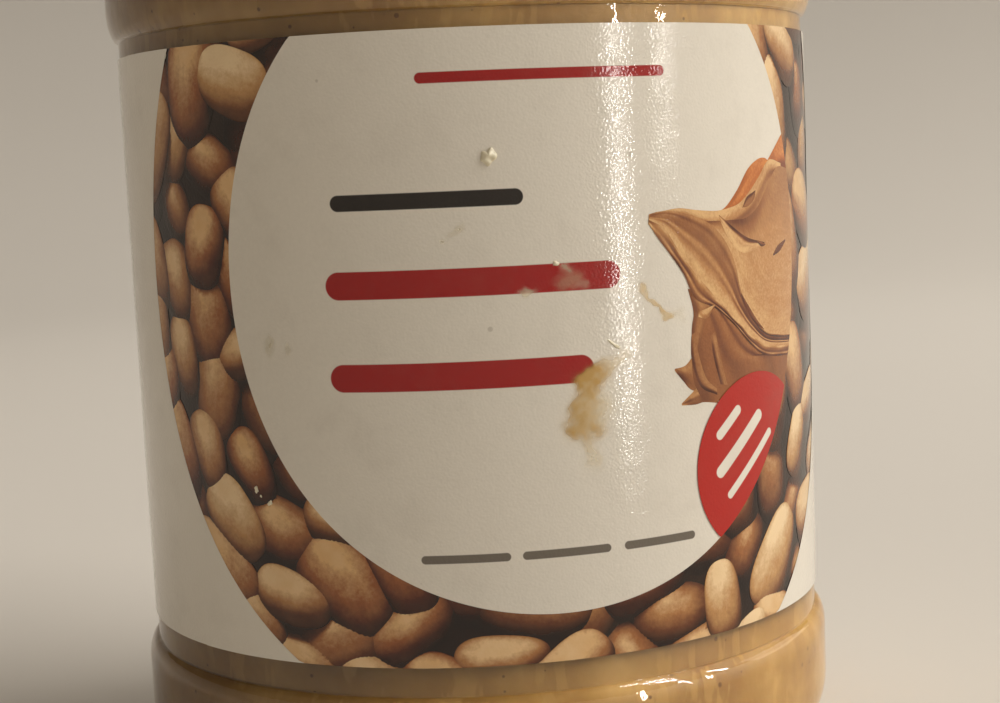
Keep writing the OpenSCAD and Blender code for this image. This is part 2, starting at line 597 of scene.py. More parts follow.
@dataclass(frozen=True)
class Mark:
    """Something small on the label.

    Attributes:
        u: its middle, along the label.
        z: its middle, up the label.
        length: its length.
        width: its size across its length.
        tilt: its slope in degrees, rising to the right.
    """

    u: float
    z: float
    length: float
    width: float
    tilt: float = 0.0

    @property
    def way(self) -> Point:
        """The direction of its length."""
        return math.cos(math.radians(self.tilt)), math.sin(math.radians(self.tilt))

    def own_axes(self, u: Any, z: Any) -> tuple[Any, Any]:
        """Turns places on the label into places from the mark's middle, along it and across it.
        They are arrays or sockets."""
        cos, sin = self.way
        return (u - self.u) * cos + (z - self.z) * sin, (z - self.z) * cos - (u - self.u) * sin


@dataclass(frozen=True)
class Bar(Mark):
    """A plain printed bar with round ends, where a line of print would be."""

    def mask(self, u: Socket, z: Socket) -> Socket:
        """1 on the bar and 0 off it. Its edge is where the distance to the line along its middle is
        half its width."""
        along, across = self.own_axes(u, z)
        beyond = (abs(along) - (self.length - self.width) / 2).at_least(0.0)
        distance = (beyond * beyond + across * across) ** 0.5
        return 1 - distance.between(self.width / 2 - EDGE, self.width / 2 + EDGE)


def circle_mask(u: Socket, z: Socket, centre: Point, radius: float) -> Socket:
    """1 inside a printed circle and 0 outside it."""
    across, up = u - centre[0], z - centre[1]
    distance = (across * across + up * up) ** 0.5
    return 1 - distance.between(radius - EDGE, radius + EDGE)


@dataclass(frozen=True)
class PlainPrint(Film):
    """The label's white stock, with the peanut ring's dark ground where ring_radius is above 0."""

    white: Colour = PAPER
    shaded: Colour = srgb(206, 196, 178)
    ground: Colour = srgb(44, 22, 12)
    gap: Colour = srgb(20, 9, 6)
    ring_radius: float = 0.0
    ring_centre: Point = (0.0, 0.0)

    def paint(self, graph: Graph) -> None:
        """White, with the ring's ground inside its circle."""
        fleck = graph.noise(graph.object_mm(), 2.5, 2.0)
        colour = graph.mix(fleck * 0.08, self.white, self.shaded)
        if self.ring_radius > 0:
            u, z, _ = graph.parts(graph.attribute(PRINT, "Vector"))
            depth = graph.mix(graph.noise(graph.object_mm(), 0.5, 3.0), self.ground, self.gap)
            inside = circle_mask(u, z, self.ring_centre, self.ring_radius)
            colour = graph.mix(inside, colour, depth)
        self.laminate(graph, colour)


@dataclass(frozen=True)
class BarPrint(Film):
    """A plain printed ground with plain bars on it.

    Attributes:
        ground: colour of the ground.
        bars: groups of bars, each with its ink.
    """

    ground: Colour = PAPER
    bars: tuple[tuple[Colour, tuple[Bar, ...]], ...] = ()

    def paint(self, graph: Graph) -> None:
        """The ground, barely uneven, then each group of bars over it."""
        u, z, _ = graph.parts(graph.attribute(PRINT, "Vector"))
        fleck = graph.noise(graph.object_mm(), 2.5, 2.0)
        shaded = tuple(0.76 * part for part in self.ground[:3])
        colour = graph.mix(fleck * 0.3, self.ground, (*shaded, 1.0))
        for ink, group in self.bars:
            for bar in group:
                colour = graph.mix(bar.mask(u, z), colour, ink)
        self.laminate(graph, colour)


@dataclass(frozen=True)
class KernelPrint(Film):
    """Printed peanuts, from brown skins to pale halves."""

    brown: tuple[Colour, ...] = (
        srgb(20, 8, 6), srgb(84, 38, 21), srgb(152, 90, 48), srgb(222, 178, 122),
    )
    pale: tuple[Colour, ...] = (
        srgb(38, 18, 10), srgb(128, 80, 46), srgb(196, 150, 96), srgb(242, 214, 170),
    )
    places: tuple[float, ...] = (0.05, 0.3, 0.58, 0.92)

    def paint(self, graph: Graph) -> None:
        """Colour by the light on each kernel, its tone, and a faint grain that runs along it."""
        light, tone = graph.attribute(LIGHT), graph.attribute(TONE)
        local = graph.attribute(LOCAL, "Vector")
        vein = graph.noise(graph.scaled(local, (0.4, 1.2, 1.0)), 1.0, 2.0, 0.5)
        grain = graph.noise(local, 2.2, 4.0, 0.7)
        blotch = graph.noise(local, 0.45, 3.0)
        shade = (light * (0.58 + vein * 0.3 + grain * 0.5 + blotch * 0.12)).at_most(1.0)
        skin = graph.ramp(shade, list(zip(self.places, self.brown)))
        flesh = graph.ramp(shade, list(zip(self.places, self.pale)))
        share = (tone + (blotch - 0.5) * 0.9).at_least(0.0)
        self.laminate(graph, graph.mix(share.at_most(1.0), skin, flesh))


@dataclass(frozen=True)
class SpreadPrint(Film):
    """Printed peanut butter, drawn out by a knife."""

    colours: tuple[Colour, ...] = (
        srgb(58, 28, 17), srgb(108, 60, 38), srgb(152, 98, 58),
        srgb(190, 137, 86), srgb(224, 182, 128),
    )
    places: tuple[float, ...] = (0.05, 0.3, 0.55, 0.78, 0.98)
    warm: Colour = srgb(255, 190, 112)

    def paint(self, graph: Graph) -> None:
        """Colour by the light on the folds, with fine streaks along them and a warmer tone in the
        folds that the field marks."""
        light, tone = graph.attribute(LIGHT), graph.attribute(TONE)
        local = graph.attribute(LOCAL, "Vector")
        streak = graph.noise(graph.scaled(local, (0.35, 1.1, 1.0)), 1.0, 3.0, 0.6)
        grain = graph.noise(local, 3.0, 3.0, 0.65)
        shade = light * (0.68 + streak * 0.28 + grain * 0.4)
        colour = graph.ramp(shade.at_most(1.0), list(zip(self.places, self.colours)))
        self.laminate(graph, graph.mix(tone, colour, self.warm, "MULTIPLY"))


@dataclass(frozen=True)
class CapPlastic(Finish):
    """Moulded satin plastic."""

    colour: Colour = srgb(150, 24, 20)
    worn: Colour = srgb(176, 52, 42)

    def paint(self, graph: Graph) -> None:
        """Red with a fine mould grain, and a little paler where hands rub it."""
        place = graph.object_mm()
        cloud = graph.noise(place, 0.12, 3.0).between(0.45, 0.7)
        grain = graph.noise(place, 4.5, 2.0)
        colour = graph.mix(cloud * 0.35, self.colour, self.worn)
        graph.dress(Base_Color=colour, Roughness=0.32 + cloud * 0.1, Normal=graph.bump(grain, 0.01))
        graph.dress(IOR=1.49)


@dataclass(frozen=True)
class Paste(Finish):
    """A thin smear of oil and peanut butter, see-through where it is thin. It also colours the
    crumbs and a pale sliver that is a painted highlight, a glint on the film.
    """

    # Pale oil, which also colours the pale sliver that is a painted highlight, a glint on the film.
    pale_oil_and_glint: Colour = srgb(230, 222, 196)
    nutty: Colour = srgb(188, 150, 82)

    def paint(self, graph: Graph) -> None:
        """From pale oil to tan paste by the smear's tone, fading out with its thickness."""
        cloud = graph.noise(graph.object_mm(), 1.1, 3.0, 0.6)
        share = (graph.attribute(TONE) + cloud * 0.7 - 0.35).at_least(0.0)
        colour = graph.mix(share.at_most(1.0), self.pale_oil_and_glint, self.nutty)
        cover = (graph.attribute(THICK) * (0.6 + cloud * 0.8)).between(0.0, 0.9)
        graph.dress(Base_Color=colour, Alpha=cover, Roughness=0.3)
        graph.dress(Normal=graph.bump(cloud, 0.03), IOR=1.46)


@dataclass(frozen=True)
class StudioFloor(Finish):
    """Plain pale floor."""

    colour: Colour = srgb(232, 227, 219)
    shaded: Colour = srgb(222, 216, 206)

    def paint(self, graph: Graph) -> None:
        """One pale tone, barely uneven."""
        cloud = graph.noise(graph.object_mm(), 0.004, 2.0)
        graph.dress(Base_Color=graph.mix(cloud * 0.2, self.colour, self.shaded))
        graph.dress(Roughness=0.7, Specular_IOR_Level=0.0)


# ---------------------------------------------------------------- jar, contents and cap


COLUMNS = 240  # faces once round the jar and its contents
THREAD_SINK = 0.3  # how far a thread's root lies inside its wall
THREAD_DEPTH = 0.9  # how far its crest stands off the wall
THREAD_WIDTH = 1.7  # width of its root
THREAD_CREST = 0.7  # width of its crest
THREAD_FADE = 0.12  # share of its length over which each end grows out of the wall


@dataclass
class ClearJar:
    """The clear jar: a pushed-up base, two raised bands with the label's band between them, a round
    shoulder and a threaded neck."""

    bump_r: float
    rim_z: float
    panel_r: float = 36.9
    wall: float = 0.8
    floor_t: float = 1.2
    heel_r: float = 8.4
    push_up: float = 3.0
    foot_w: float = 2.6
    panel_bottom: float = 15.8
    panel_top: float = 79.8
    lower_swell_h: float = 2.2
    upper_swell_h: float = 3.2
    upper_band_h: float = 7.0
    neck_r: float = 33.6
    neck_wall: float = 1.3
    neck_step: float = 1.0
    bead_low: float = 1.2
    bead_out: float = 1.5
    bead_h: float = 1.3
    bead_slope: float = 0.3
    lip_r: float = 0.6
    thread_drop: float = 2.6
    softening: float = 0.35

    @property
    def shoulder_z(self) -> float:
        """Height where the shoulder starts to turn in."""
        return self.panel_top + self.upper_swell_h + self.upper_band_h

    @property
    def shoulder_turn(self) -> float:
        """Angle in degrees through which the shoulder turns to reach the neck."""
        return math.degrees(math.acos(1 - (self.bump_r - self.neck_r) / self.heel_r))

    @property
    def neck_z(self) -> float:
        """Height of the neck's root."""
        return self.shoulder_z + self.heel_r * math.sin(math.radians(self.shoulder_turn))

    def side(self, inset: float, lift: float) -> np.ndarray:
        """The outline from the base's centre to the neck's root: a parabola, a heel arc, a quarter
        ellipse in to the label's band, another out of it, and the shoulder's arc.

        Args:
            inset: how far it is taken in.
            lift: how far the base is taken up.

        Returns:
            Radii and heights.
        """
        foot_r = self.bump_r - self.heel_r - self.foot_w
        radius = np.linspace(0, foot_r, 16)
        dome = np.stack([radius, lift + self.push_up * (1 - (radius / foot_r) ** 2)], axis=-1)
        middle = self.bump_r - self.heel_r
        panel, bump = self.panel_r - inset, self.bump_r - inset
        return np.vstack([
            dome,
            arc((middle, self.heel_r), self.heel_r - max(inset, lift), -90, 0, 20),
            swell((panel, self.panel_bottom), (bump, self.panel_bottom - self.lower_swell_h))[::-1],
            swell((panel, self.panel_top), (bump, self.panel_top + self.upper_swell_h)),
            arc((middle, self.shoulder_z), self.heel_r - inset, 0, self.shoulder_turn),
        ])

    def neck_outside(self) -> np.ndarray:
        """The outline of the neck: a square bead near its root, and a round lip."""
        low = self.neck_z + self.bead_low
        high = low + self.bead_h
        bead_r = self.neck_r + self.bead_out
        return np.vstack([
            [(self.neck_r, low), (bead_r, low + self.bead_slope)],
            [(bead_r, high - self.bead_slope), (self.neck_r, high)],
            arc((self.neck_r - self.lip_r, self.rim_z - self.lip_r), self.lip_r, 0, 90, 8),
        ])

    def neck_inside(self, inset: float, top: float) -> np.ndarray:
        """The inside of the neck up to a height, taken in by inset."""
        radius = self.neck_r - self.neck_wall - inset
        return np.array([(radius, self.neck_z + self.neck_step), (radius, top)])

    def build(self) -> bpy.types.Object:
        """Turns the closed outline round the axis and adds the thread."""
        outline = np.vstack([
            self.side(0, 0),
            self.neck_outside(),
            self.neck_inside(0, self.rim_z)[::-1],
            self.side(self.wall, self.floor_t)[::-1],
        ])
        shell = turned(softened(outline, self.softening), full_circle(COLUMNS))
        ridge = thread(self.neck_r, 1, self.rim_z - self.thread_drop)
        finish = ClearPlastic("clear_plastic")
        return put("clear_jar", [shell, ridge], finish, "jar")


def thread(wall_r: float, out: int, top: float, pitch: float = 4.2, turns: float = 1.25) -> Grid:
    """A ridge that climbs round the axis: at the share s of its length its angle is turns * s, its
    height rises by the pitch for each turn, and its section is a trapezoid that grows out of the
    wall near both ends.

    Args:
        wall_r: radius of the wall that it grows from.
        out: 1 where it grows away from the axis, and -1 where it grows towards it.
        top: height of its upper end.
        pitch: rise in one turn.
        turns: number of turns.

    Returns:
        The ridge, closed at both ends.
    """
    root, crest = wall_r - out * THREAD_SINK, wall_r + out * THREAD_DEPTH
    share = np.linspace(0, 1, 121)[None]
    grown = np.clip(np.minimum(share, 1 - share) / THREAD_FADE, 0, 1)
    foot, top_edge = THREAD_WIDTH / 2, THREAD_CREST / 2
    shape = np.array([(0, -foot), (1, -top_edge), (1, top_edge), (0, foot), (0, -foot)])
    open_end = (grown > 0).astype(float)
    radius = root + (crest - root) * shape[:, :1] * grown
    height = top - pitch * turns * (1 - share) + shape[:, 1:] * open_end
    angle = 2 * math.pi * turns * share + 0 * radius
    points = np.stack([radius * np.sin(angle), -radius * np.cos(angle), height], axis=-1)
    return Grid(points if crest > root else points[::-1])


@dataclass
class Contents:
    """The peanut butter, which reaches a little way into the jar's wall."""

    jar: ClearJar
    fill_z: float
    reach: float = 0.14
    crown: float = 1.4
    crown_edge: float = 0.6
    crown_w: float = 6.0
    dent: float = 0.03
    softening: float = 0.8

    def build(self) -> bpy.types.Object:
        """Turns the jar's inner outline round the axis up to the fill's level, with soft dents of a
        few hundredths of a millimetre where the paste lies unevenly."""
        jar = self.jar
        edge_r = jar.neck_r - self.crown_w
        outline = softened(
            np.vstack([
                jar.side(jar.wall - self.reach, jar.floor_t - self.reach),
                jar.neck_inside(-self.reach, self.fill_z),
                [(edge_r, self.fill_z + self.crown_edge), (0, self.fill_z + self.crown)],
            ]),
            self.softening,
        )
        angles = full_circle(COLUMNS)
        radius, height = outline[:, :1], outline[:, 1:]
        dents = self.dent * np.sin(7 * angles + height / 5) * np.sin(3 * angles - height / 9)
        on_wall = (radius > jar.neck_r - self.crown_w / 2).astype(float)
        paste = turned(outline, angles, dents * on_wall)
        finish = NutButter("nut_butter")
        return put("peanut_butter_fill", [paste], finish, "peanut_butter")


@dataclass
class ScrewCap:
    """A screw cap with upright grip ribs and a shallow recess in its top."""

    crest_r: float
    skirt_z: float
    top_z: float
    rib_depth: float = 0.45
    ribs: int = 90
    rib_columns: int = 12
    rib_low: float = 1.6
    rib_high: float = 2.6
    rib_foot: float = 0.45
    rib_head: float = 0.4
    wall: float = 1.2
    top_t: float = 1.6
    round_r: float = 1.8
    ring_w: float = 5.0
    dip: float = 0.5
    dip_flat: float = 3.0
    nub_r: float = 2.2
    nub_slope: float = 0.4
    nub_dip: float = 0.25
    thread_drop: float = 4.7
    softening: float = 0.3

    def build(self) -> bpy.types.Object:
        """Turns the cap's outline round the axis. Between the skirt's two smooth bands the radius
        grows by a rib wave: the cosine of the angle times the rib count, steepened."""
        outer = self.crest_r - self.rib_depth
        inner = outer - self.wall
        ring = outer - self.ring_w
        under, dip = self.top_z - self.top_t, self.top_z - self.dip
        low, high = self.skirt_z + self.rib_low, self.top_z - self.rib_high
        foot, head = low + self.rib_foot, high - self.rib_head
        levels = (self.skirt_z, low - 0.5, low, foot, head - self.rib_head, head, high)
        outline = np.vstack([
            [(0, under), (inner, under), (inner, self.skirt_z)],
            [(outer, level) for level in levels],
            arc((outer - self.round_r, self.top_z - self.round_r), self.round_r, 0, 90, 10),
            [(ring, self.top_z), (ring - self.dip, dip), (ring - self.dip_flat, dip)],
            [(self.nub_r, dip), (self.nub_r - self.nub_slope, dip - self.nub_dip)],
            [(0, dip - self.nub_dip)],
        ])
        outline = softened(outline, self.softening)
        angles = full_circle(self.ribs * self.rib_columns)
        radius, height = outline[:, :1], outline[:, 1:]
        wave = np.clip(0.5 + 1.4 * np.cos(self.ribs * angles), 0, 1)
        band = smooth(height, low, foot) * (1 - smooth(height, head, high))
        on_skirt = radius > outer - 0.1
        body = turned(outline, angles, self.rib_depth * wave * band * on_skirt)
        ridge = thread(inner, -1, under - self.thread_drop)
        return put("screw_cap", [body, ridge], CapPlastic("cap_plastic"), "cap")


# ---------------------------------------------------------------- label and its print


@dataclass
class LabelSheet:
    """The label: a strip wrapped once round the jar, whose ends overlap at the back.

    Attributes:
        radius: outer radius.
        low: height of its lower edge above the foot.
        high: height of its upper edge.
        thickness: thickness of the strip.
        overlap: length of the overlap.
        climb_from: distance before the overlap at which the strip starts to climb.
        climb_to: distance before the overlap at which it has climbed.
        rows: the number of points up each face.
    """

    radius: float
    low: float
    high: float
    thickness: float = 0.16
    overlap: float = 8.0
    climb_from: float = 2.5
    climb_to: float = 0.5
    rows: int = 13

    @property
    def middle(self) -> float:
        """Height of the label's middle above the foot."""
        return (self.low + self.high) / 2

    @property
    def half_height(self) -> float:
        """Half the label's height."""
        return (self.high - self.low) / 2

    def lay(self, u: np.ndarray, z: np.ndarray, lift: np.ndarray | float) -> np.ndarray:
        """Places on the label. The angle is u over the radius, and the radius grows by the lift.

        Args:
            u: distance round the label from the middle of its print, to the right.
            z: height above the label's middle, held within its edges.
            lift: distance off the label.

        Returns:
            The points.
        """
        angle = u / self.radius
        radius = self.radius + lift + 0 * angle
        height = np.clip(z, -self.half_height, self.half_height) + self.middle + 0 * radius
        return np.stack([radius * np.sin(angle), -radius * np.cos(angle), height], axis=-1)

    def build(self, finish: Finish) -> bpy.types.Object:
        """Carries the strip's thin section along its path. The path's radius is constant, and over
        the last stretch it steps up by one thickness to climb over the strip's other end."""
        reach = math.pi * self.radius + self.overlap / 2
        u = np.linspace(-reach, reach, 721)[None]
        step = reach - self.overlap
        climb = self.thickness * smooth(u, step - self.climb_from, step - self.climb_to)
        open_end = (np.abs(u) < reach).astype(float)
        heights = np.linspace(-1, 1, self.rows) * self.half_height
        z = np.concatenate([heights, heights[::-1], heights[:1]])[:, None]
        inside = np.concatenate([np.zeros(self.rows), np.ones(self.rows), np.zeros(1)])[:, None]
        lift = climb - self.thickness * inside * open_end
        strip = Grid(self.lay(u, z, lift), print_place(u + 0 * lift, z + 0 * lift))
        return put("label_sheet", [strip], finish, "label")


LAYER = 0.075  # lift of the white print that covers the kernels' outer ends
SPREAD_STEP = 0.006  # lift from one level of the printed spread to the next
SMEAR_LIFT = 0.02  # lift of the smears off the white print
BADGE_LIFT = 0.08  # lift of the badge off the white print


def print_place(u: np.ndarray, z: np.ndarray) -> dict[str, np.ndarray]:
    """The field that tells a finish where on the print it is."""
    return {PRINT: np.stack([u, z, 0 * u], axis=-1)}


@dataclass
class Ring:
    """The printed ring of peanuts: the space between two circles, cut by the label's edges."""

    centre: Point = (0.0, 7.5)
    inner: float = 32.5
    outer: float = 45.6

    def held(self, u: np.ndarray, z: np.ndarray) -> tuple[np.ndarray, np.ndarray]:
        """Moves places outside the inner circle onto it, straight towards the ring's centre."""
        across, up = u - self.centre[0], z - self.centre[1]
        share = np.minimum(1, self.inner / (np.hypot(across, up) + TINY))
        return self.centre[0] + across * share, self.centre[1] + up * share

    def spot(self, sheet: LabelSheet, centre: Point, radius: float, lift: float) -> Grid:
        """A round spot of print, cut off by the ring's inner circle.

        Args:
            sheet: the label.
            centre: the spot's centre.
            radius: its radius.
            lift: height of the layer off the label.

        Returns:
            The layer.
        """
        angle = np.linspace(0, -2 * math.pi, 121)[None]
        reach = np.linspace(0, radius, 30)[:, None]
        u, z = self.held(centre[0] + reach * np.cos(angle), centre[1] + reach * np.sin(angle))
        return Grid(sheet.lay(u, z, lift), print_place(u, z))

    def disc(self, sheet: LabelSheet, low: float, high: float, lift: float) -> Grid:
        """The part of the label between two radii about the ring's centre, as a layer of print.

        Args:
            sheet: the label.
            low: the inner radius, 0 for a whole disc.
            high: the outer radius.
            lift: height of the layer off the label.

        Returns:
            The layer, cut by the label's edges.
        """
        angle = np.linspace(0, -2 * math.pi, 361)[None]
        radius = np.linspace(low, high, 40 if low == 0 else 12)[:, None]
        u = self.centre[0] + radius * np.cos(angle)
        z = np.clip(self.centre[1] + radius * np.sin(angle), -sheet.half_height, sheet.half_height)
        return Grid(sheet.lay(u, z, lift), print_place(u, z))


@dataclass
class KernelPile:
    """Peanuts printed as a pile. Each is an egg shape with its own place, size, slope and depth,
    and the pile is pressed almost flat, so that the nearer ones hide the others as in a real pile.

    Attributes:
        sheet: the label.
        ring: the ring that the pile fills.
        count: the number of kernels.
        half_share: share of them that are halves.
        lengths: least and greatest half length.
        widths: least and greatest half width.
        slant: spread of their slopes about the ring's own direction, in degrees.
        spacing: distance that neighbours are pushed apart to.
        rounds: how often they are pushed apart.
        seed: seed of the scatter.
        flat: share of its height that the pile keeps when it is pressed.
        lamp: direction of the printed light.
        shadow_steps: distances towards the lamp at which the pile is looked at for shadows.
        look_round: distance at which higher neighbours are looked for.
    """

    sheet: LabelSheet
    ring: Ring
    count: int = 88
    half_share: float = 0.2
    lengths: Point = (4.1, 6.3)
    widths: Point = (2.5, 3.8)
    slant: float = 34.0
    spacing: float = 7.2
    rounds: int = 80
    seed: int = 11
    flat: float = 0.008
    lamp: tuple[float, float, float] = (-0.18, 0.82, 0.54)
    shadow_steps: tuple[float, ...] = (0.7, 1.5, 2.6, 4.0)
    look_round: float = 1.7

    def spread_out(self) -> np.ndarray:
        """Scatters the kernels over the ring and pushes apart those that are too close.

        Returns:
            count x 2 places.
        """
        rng = np.random.default_rng(self.seed)
        centre = np.array(self.ring.centre)
        inner, outer = self.ring.inner - 1, self.ring.outer + 1
        edge = self.sheet.half_height + 2
        places = rng.uniform((-outer, -edge), (outer, edge), (self.count * 12, 2))
        distance = np.linalg.norm(places - centre, axis=1)
        places = places[(distance > inner) & (distance < outer)][: self.count]
        for _ in range(self.rounds):
            gap = places[:, None] - places[None]
            distance = np.linalg.norm(gap, axis=-1) + np.eye(len(places)) * 100  # far from itself
            push = np.clip(self.spacing - distance, 0, None) / distance
            places = places + 0.3 * (gap * push[..., None]).sum(axis=1)
            out = places - centre
            radius = np.linalg.norm(out, axis=1, keepdims=True)
            places = centre + out / radius * np.clip(radius, inner, outer)
            places[:, 1] = np.clip(places[:, 1], -edge, edge)
        return places

    def kernels(self) -> dict[str, np.ndarray]:
        """Gives every kernel its sizes, slope, depth and tone.

        Returns:
            One array for each property, count long or count x 2.
        """
        rng = np.random.default_rng(self.seed + 1)
        place = self.spread_out()
        count = len(place)
        half = rng.random(count) < self.half_share
        length = rng.uniform(*self.lengths, count)
        out = place - np.array(self.ring.centre)
        along_ring = np.arctan2(out[:, 1], out[:, 0]) + math.pi / 2
        angle = along_ring + rng.normal(0, math.radians(self.slant), count)
        return {
            "place": place,
            "axis": np.stack([np.cos(angle), np.sin(angle)], axis=-1),
            "length": length,
            "width": np.clip(length * rng.uniform(0.5, 0.72, count), *self.widths),
            "height": np.where(half, 2.0, rng.uniform(2.8, 3.6, count)),
            "taper": rng.uniform(0.0, 0.25, count),
            "depth": rng.uniform(0.0, 4.0, count) + np.where(half, 1.5, 0.0),
            "tone": np.where(half, rng.uniform(0.6, 1.0, count), rng.uniform(0.0, 0.55, count)),
            "phase": rng.uniform(0, 100, count),
        }

    def tops(self, kernels: dict[str, np.ndarray], u: np.ndarray, z: np.ndarray) -> np.ndarray:
        """Height of the pile at places on the label: the greatest over the kernels of the depth
        plus the height times the root of 1 - (x / length)^2 - (y / width)^2, with x and y along and
        across the kernel.

        Args:
            kernels: their properties.
            u: places along the label.
            z: places up the label.

        Returns:
            The heights, 0 where there is no kernel.
        """
        best = np.zeros(u.shape)
        for index in range(len(kernels["length"])):
            axis, place = kernels["axis"][index], kernels["place"][index]
            x = (u - place[0]) * axis[0] + (z - place[1]) * axis[1]
            y = (z - place[1]) * axis[0] - (u - place[0]) * axis[1]
            x = x / kernels["length"][index]
            y = y / (kernels["width"][index] * np.clip(1 - kernels["taper"][index] * x, 0.4, 1.6))
            rest = 1 - x * x - y * y
            dome = kernels["height"][index] * np.sqrt(np.clip(rest, 0, None))
            top = kernels["depth"][index] + dome
            best = np.where(rest > 0, np.maximum(best, top), best)
        return best

    def light(
        self,
        kernels: dict[str, np.ndarray],
        place: tuple[np.ndarray, ...],
        normal: tuple[np.ndarray, ...],
    ) -> np.ndarray:
        """The print's light, worked out from the unpressed pile: the slope towards the lamp, less
        the shadow of what stands between the point and the lamp, plus an even light, less the
        closeness of higher kernels all round. Deep places are darker, and a soft gleam lies where
        the slope is half way between the lamp and the viewer.

        Args:
            kernels: their properties.
            place: places on the kernels, along the label, up it and off it.
            normal: the three parts of the surface's direction there.

        Returns:
            The light, about 1 where it is brightest.
        """
        u, z, height = place
        lamp = np.array(self.lamp) / np.linalg.norm(self.lamp)
        facing = np.clip(sum(part * way for part, way in zip(normal, lamp)), 0, 1)
        shadow = np.zeros(u.shape)
        for step in self.shadow_steps:
            pile = self.tops(kernels, u + lamp[0] * step, z + lamp[1] * step)
            over = pile - (height + lamp[2] * step)
            shadow = np.maximum(shadow, smooth(over, 0.0, 0.35 + 0.25 * step))
        closed = np.zeros(u.shape)
        for turn in np.arange(8) * math.pi / 4:
            beside = u + self.look_round * math.cos(turn), z + self.look_round * math.sin(turn)
            closed = closed + np.clip((self.tops(kernels, *beside) - height) / 2.6, -0.3, 1) / 8
        open_sky = np.clip(1 - 1.3 * closed, 0.02, 1.2) * (0.35 + 0.65 * normal[2])
        half_way = (lamp + (0, 0, 1)) / np.linalg.norm(lamp + (0, 0, 1))
        gleam = np.clip(sum(part * way for part, way in zip(normal, half_way)), 0, 1) ** 26
        gleam = gleam * (1 - shadow)
        deep = 0.27 + 0.73 * smooth(height, 0.9, 5.7)
        return (0.8 * facing * (1 - 0.85 * shadow) + 0.2 * open_sky) * deep + 0.2 * gleam

    def grids(self) -> list[Grid]:
        """Builds the kernels as domes on polar grids. At rho from the middle and the angle phi, a
        place is rho times the cosine and sine of phi, a little blunt at the corners and narrowed
        towards one end by the taper, and its height is the root of 1 - rho^2.

        Returns:
            One grid for each kernel.
        """
        kernels = self.kernels()
        rho = np.sin(np.linspace(0, math.pi / 2, 18))[None, :, None]
        phi = np.linspace(0, -2 * math.pi, 53)[None, None, :]
        wide = {key: value[:, None, None] for key, value in kernels.items() if value.ndim == 1}
        blunt = rho * (1 + 0.09 * np.sin(2 * phi) ** 2)
        x = blunt * np.cos(phi) + 0 * wide["length"]
        y = blunt * np.sin(phi) * (1 - wide["taper"] * x)
        rest = np.sqrt(np.clip(1 - rho**2, 0, None)) + 0 * x
        height = wide["depth"] + wide["height"] * rest
        along, across = x * wide["length"], y * wide["width"]
        cos, sin = kernels["axis"][:, 0, None, None], kernels["axis"][:, 1, None, None]
        u = kernels["place"][:, 0, None, None] + along * cos - across * sin
        z = kernels["place"][:, 1, None, None] + along * sin + across * cos
        slope_x, slope_y, slope_out = x / wide["length"], y / wide["width"], rest / wide["height"]
        size = np.sqrt(slope_x**2 + slope_y**2 + slope_out**2) + TINY
        slopes = slope_x * cos - slope_y * sin, slope_x * sin + slope_y * cos, slope_out
        light = self.light(kernels, (u, z, height), tuple(slope / size for slope in slopes))
        points = self.sheet.lay(u, z, self.flat * height)
        tone = wide["tone"] + 0 * u
        phase = wide["phase"]
        local = np.stack([along + phase, across + 0 * phase, 0 * u + phase], axis=-1)
        return [
            Grid(points[i], {LIGHT: light[i], TONE: tone[i], LOCAL: local[i]})
            for i in range(len(points))
        ]

    def build(self) -> bpy.types.Object:
        """Makes the pile as one printed layer."""
        return put("printed_kernels", self.grids(), KernelPrint("kernel_print"))


@dataclass(frozen=True)
class Fold:
    """One sheet of the printed spread, ruled between two curves.

    Attributes:
        upper: points on the curve on the left as one goes along the sheet.
        lower: points on the curve on the right.
        profile: heights of the sheet at even steps across it, from the lower curve to the upper.
        level: place of the sheet in the stack, which sets what hides what.
        warmth: share of the warmer tone.
        dim: factor on its light.
    """

    upper: tuple[Point, ...]
    lower: tuple[Point, ...]
    profile: tuple[float, ...]
    level: float
    warmth: float = 0.0
    dim: float = 1.0

    def grid(self, sheet: LabelSheet, ring: Ring, lamp: np.ndarray) -> Grid:
        """Lays the sheet on the label: a point is the blend (1 - t) lower + t upper. Its print's
        light is the slope of the unpressed sheet towards the lamp. The sheet's height follows the
        profile across it, grows from the start, and wanders a little with slow waves.

        Args:
            sheet: the label.
            ring: the ring whose inner circle cuts the spread off.
            lamp: direction of the printed light.

        Returns:
            The sheet's grid.
        """
        rows, columns = 41, 81
        t = np.linspace(0, 1, rows)[:, None]
        s = np.linspace(0, 1, columns)[None]
        low, high = through(self.lower, columns)[None], through(self.upper, columns)[None]
        flat = low * (1 - t[..., None]) + high * t[..., None]
        u, z = flat[..., 0], flat[..., 1]
        steps = np.linspace(0, 1, len(self.profile))
        across = through(list(zip(steps, self.profile)), 201)
        shifted = np.clip(t + 0.03 * np.sin(6 * s + 5 * t + self.level) * np.sin(math.pi * t), 0, 1)
        height = np.interp(shifted, across[:, 0], across[:, 1]) * (0.1 + 0.9 * smooth(s, 0.0, 0.3))
        height = height + 0.1 * np.sin(1.7 * u - 1.1 * z) * np.sin(math.pi * t)
        place = np.stack([u, z, height], axis=-1)
        normal = np.cross(np.gradient(place, axis=1), np.gradient(place, axis=0))
        normal = normal / (np.linalg.norm(normal, axis=-1, keepdims=True) + TINY)
        light = np.clip(0.3 + 0.7 * (normal @ lamp), 0.02, 1) * self.dim
        run = np.linalg.norm(np.diff(flat, axis=1, prepend=flat[:, :1]), axis=-1)
        along = np.cumsum(run, axis=1)
        width = t * np.linalg.norm(high - low, axis=-1)
        local = np.stack([along, width, 0 * along + 10 * self.level], axis=-1)
        points = sheet.lay(*ring.held(u, z), LAYER + SPREAD_STEP * (1 + self.level))
        return Grid(points, {LIGHT: light, TONE: 0 * light + self.warmth, LOCAL: local})


